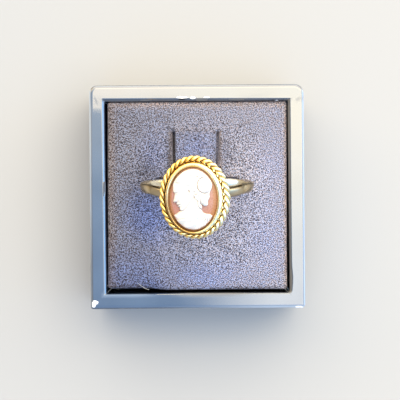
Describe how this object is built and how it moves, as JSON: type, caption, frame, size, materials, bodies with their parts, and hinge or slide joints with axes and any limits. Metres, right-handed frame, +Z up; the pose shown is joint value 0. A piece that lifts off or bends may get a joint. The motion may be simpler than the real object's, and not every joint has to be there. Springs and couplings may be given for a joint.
{
  "type": "cameo ring in ring box",
  "caption": "Oval shell cameo in a gold ring with a twisted rope border and split shoulders, held upright in the padded slot of a small open ring box.",
  "frame": {"origin": "middle of the box's underside", "axes": "+Z up, +Y to the back of the box, where the tongue of the pad is hinged, +X to the right"},
  "size_m": [0.0404, 0.0422, 0.0384],
  "materials": {
    "gold": "polished yellow gold, darker in the twist of the rope",
    "shell_ground": "polished shell, pinkish brown",
    "shell_relief": "carved shell, satin white",
    "box_lacquer": "glossy navy with worn white corners",
    "pad_velvet": "short grey-blue velvet"
  },
  "bodies": {
    "root": {"ring_mount": "gold", "cameo_ground": "shell_ground", "cameo_relief": "shell_relief", "box_tray": "box_lacquer", "ring_pad": "pad_velvet"}
  },
  "joints": []
}
